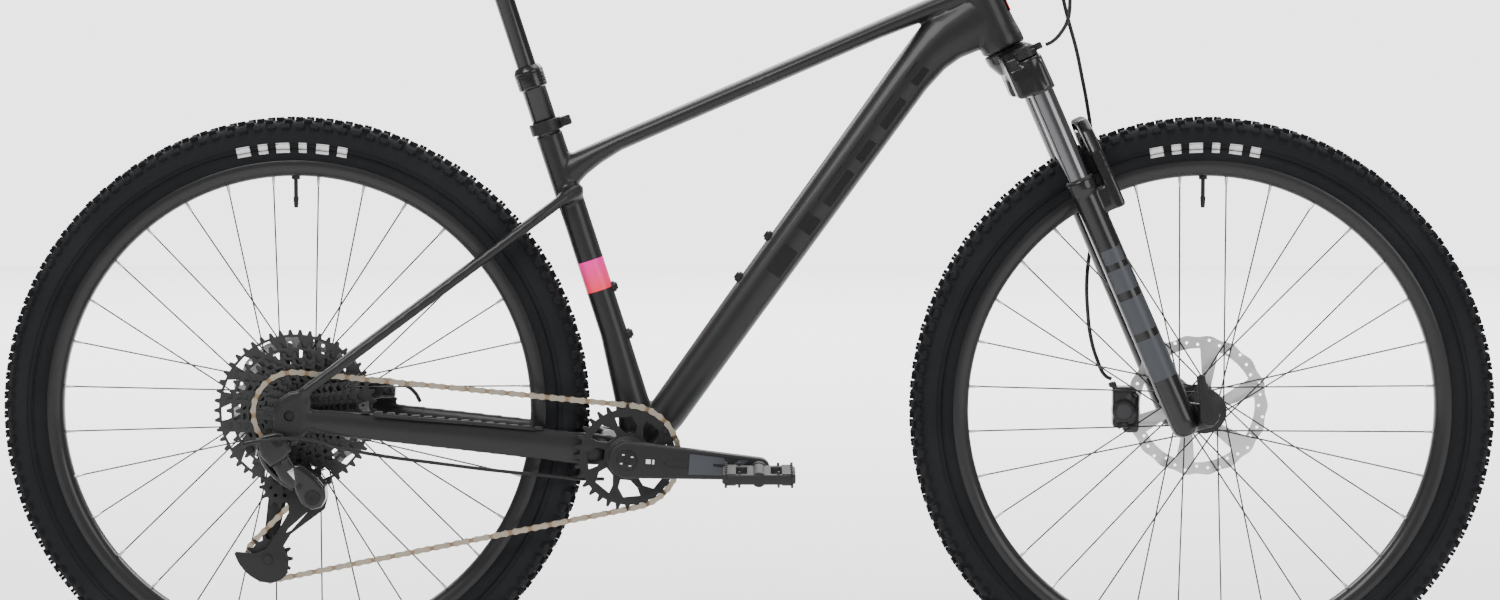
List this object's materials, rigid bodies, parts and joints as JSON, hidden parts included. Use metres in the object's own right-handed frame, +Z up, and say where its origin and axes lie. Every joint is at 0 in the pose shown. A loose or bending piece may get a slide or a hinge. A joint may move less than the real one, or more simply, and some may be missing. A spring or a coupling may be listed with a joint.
{
  "type": "mountain bike",
  "caption": "Hardtail mountain bike with a telescopic fork, disc brakes, a wide-range cassette drivetrain and a height-adjustable seatpost.",
  "frame": {"origin": "on the ground, midway between the two axles, on the bike's centre plane", "axes": "+X forward, +Y to the rider's left, +Z up"},
  "size_m": [1.8896, 0.7632, 1.0247],
  "materials": {
    "frame_paint": "satin black with a faint metallic sheen",
    "gloss_black": "gloss black",
    "black_alloy": "black anodised",
    "grey_steel": "bright grey",
    "chain_steel": "tan silver",
    "tyre_rubber": "matte charcoal rubber",
    "grip_rubber": "matte ribbed",
    "black_plastic": "fine-grained black",
    "saddle_cover": "matte synthetic cover"
  },
  "bodies": {
    "frame": {"head_tube": "frame_paint", "top_tube": "frame_paint", "down_tube": "frame_paint", "seat_tube": "frame_paint", "bottom_bracket_shell": "frame_paint", "chainstay_right": "frame_paint", "chainstay_left": "frame_paint", "seatstay_right": "frame_paint", "seatstay_left": "frame_paint", "seat_clamp": "black_alloy", "dropper_outer_tube": "gloss_black", "rear_thru_axle": "black_alloy", "rear_brake_caliper": "black_plastic", "derailleur_body": "black_plastic", "chain": "chain_steel", "shift_housing_rear": "black_plastic", "rear_brake_hose_rear": "black_plastic"},
    "post": {"dropper_inner_post": "gloss_black", "saddle_rails": "grey_steel", "saddle": "saddle_cover"},
    "rear_wheel": {"rear_tyre": "tyre_rubber", "rear_rim": "black_alloy", "rear_hub_spokes": "grey_steel", "rear_rotor": "grey_steel"},
    "cassette": {"cassette": "grey_steel"},
    "cranks": {"crank_arm_right": "black_alloy", "crank_arm_left": "black_alloy", "chainring": "black_alloy"},
    "pedal_right": {"pedal_right": "black_alloy"},
    "pedal_left": {"pedal_left": "black_alloy"},
    "derailleur_cage": {"derailleur_cage": "black_alloy"},
    "guide_pulley": {"guide_pulley": "black_plastic"},
    "tension_pulley": {"tension_pulley": "black_plastic"},
    "steering": {"fork_crown": "gloss_black", "stanchion_right": "grey_steel", "stanchion_left": "grey_steel", "headset_cover": "black_plastic", "stem": "black_alloy", "handlebar": "black_alloy", "grip_right": "grip_rubber", "grip_left": "grip_rubber", "brake_master_right": "black_plastic", "brake_master_left": "black_plastic", "lockout_cable": "black_plastic", "front_brake_hose": "black_plastic", "rear_brake_hose_front": "black_plastic", "shift_housing_front": "black_plastic"},
    "lockout_dial": {"lockout_dial": "black_alloy"},
    "fork_lowers": {"fork_lowers": "gloss_black", "front_thru_axle": "black_alloy", "front_brake_caliper": "black_plastic"},
    "front_wheel": {"front_tyre": "tyre_rubber", "front_rim": "black_alloy", "front_hub_spokes": "grey_steel", "front_rotor": "grey_steel"},
    "brake_lever_right": {"brake_lever_right": "black_alloy"},
    "brake_lever_left": {"brake_lever_left": "black_alloy"},
    "shift_lever": {"shift_lever": "black_plastic"},
    "lockout_lever": {"lockout_lever": "black_plastic"}
  },
  "joints": [
    {"name": "steering_turn", "type": "hinge", "parent": "frame", "child": "steering", "pos_m": [0.3217, 0, 0.8274], "axis": [-0.3987, 0, 0.9171], "range_deg": [-60, 60]},
    {"name": "fork_travel", "type": "slide", "parent": "steering", "child": "fork_lowers", "axis": [-0.3987, 0, 0.9171], "range_m": [0, 0.1], "stiffness_N_per_m": 6000, "springref_m": -0.02, "deforming": ["front_brake_hose"]},
    {"name": "front_wheel_spin", "type": "hinge", "parent": "fork_lowers", "child": "front_wheel", "pos_m": [0.5738, 0, 0.371], "axis": [0, 1, 0], "continuous": true},
    {"name": "rear_wheel_spin", "type": "hinge", "parent": "frame", "child": "rear_wheel", "pos_m": [-0.5738, 0, 0.371], "axis": [0, 1, 0], "continuous": true},
    {"name": "crank_spin", "type": "hinge", "parent": "frame", "child": "cranks", "pos_m": [-0.153, 0, 0.316], "axis": [0, 1, 0], "continuous": true},
    {"name": "cassette_spin", "type": "hinge", "parent": "frame", "child": "cassette", "pos_m": [-0.5738, 0, 0.371], "axis": [0, 1, 0], "continuous": true},
    {"name": "pedal_right_spin", "type": "hinge", "parent": "cranks", "child": "pedal_right", "pos_m": [0.0116, -0.142, 0.30449], "axis": [0, 1, 0], "continuous": true},
    {"name": "pedal_left_spin", "type": "hinge", "parent": "cranks", "child": "pedal_left", "pos_m": [-0.3176, 0.142, 0.32751], "axis": [0, 1, 0], "continuous": true},
    {"name": "cage_pivot", "type": "hinge", "parent": "frame", "child": "derailleur_cage", "pos_m": [-0.5443, -0.05, 0.2695], "axis": [0, 1, 0], "range_deg": [-35, 0], "stiffness_Nm_per_rad": 0.6, "springref_deg": 34.38, "deforming": ["chain"]},
    {"name": "guide_pulley_spin", "type": "hinge", "parent": "derailleur_cage", "child": "guide_pulley", "pos_m": [-0.5913, -0.042, 0.2761], "axis": [0, 1, 0], "continuous": true},
    {"name": "tension_pulley_spin", "type": "hinge", "parent": "derailleur_cage", "child": "tension_pulley", "pos_m": [-0.6062, -0.042, 0.186], "axis": [0, 1, 0], "continuous": true},
    {"name": "dropper_slide", "type": "slide", "parent": "frame", "child": "post", "axis": [-0.309, 0, 0.9511], "range_m": [-0.12, 0], "stiffness_N_per_m": 1000, "springref_m": 0.2},
    {"name": "brake_lever_right_squeeze", "type": "hinge", "parent": "steering", "child": "brake_lever_right", "pos_m": [0.353, -0.226, 0.997], "axis": [0, 0, -1], "range_deg": [0, 18], "stiffness_Nm_per_rad": 0.8, "springref_deg": -5.73},
    {"name": "brake_lever_left_squeeze", "type": "hinge", "parent": "steering", "child": "brake_lever_left", "pos_m": [0.353, 0.226, 0.997], "axis": [0, 0, 1], "range_deg": [0, 18], "stiffness_Nm_per_rad": 0.8, "springref_deg": -5.73},
    {"name": "shift_lever_push", "type": "hinge", "parent": "steering", "child": "shift_lever", "pos_m": [0.3121, -0.19, 0.9473], "axis": [0, 0, 1], "range_deg": [0, 15], "stiffness_Nm_per_rad": 0.4, "springref_deg": -5.73},
    {"name": "lockout_lever_push", "type": "hinge", "parent": "steering", "child": "lockout_lever", "pos_m": [0.3121, 0.19, 0.9473], "axis": [0, 0, -1], "range_deg": [0, 15]},
    {"name": "lockout_dial_turn", "type": "hinge", "parent": "steering", "child": "lockout_dial", "pos_m": [0.34249, -0.062, 0.82338], "axis": [-0.3987, 0, 0.9171], "range_deg": [-60, 0]}
  ],
  "couplings": [
    {"joint": "cassette_spin", "follows": "crank_spin", "ratio": 1.28},
    {"joint": "guide_pulley_spin", "follows": "crank_spin", "ratio": -2.6667},
    {"joint": "tension_pulley_spin", "follows": "crank_spin", "ratio": 2.2857},
    {"joint": "lockout_dial_turn", "follows": "lockout_lever_push", "ratio": -4}
  ]
}
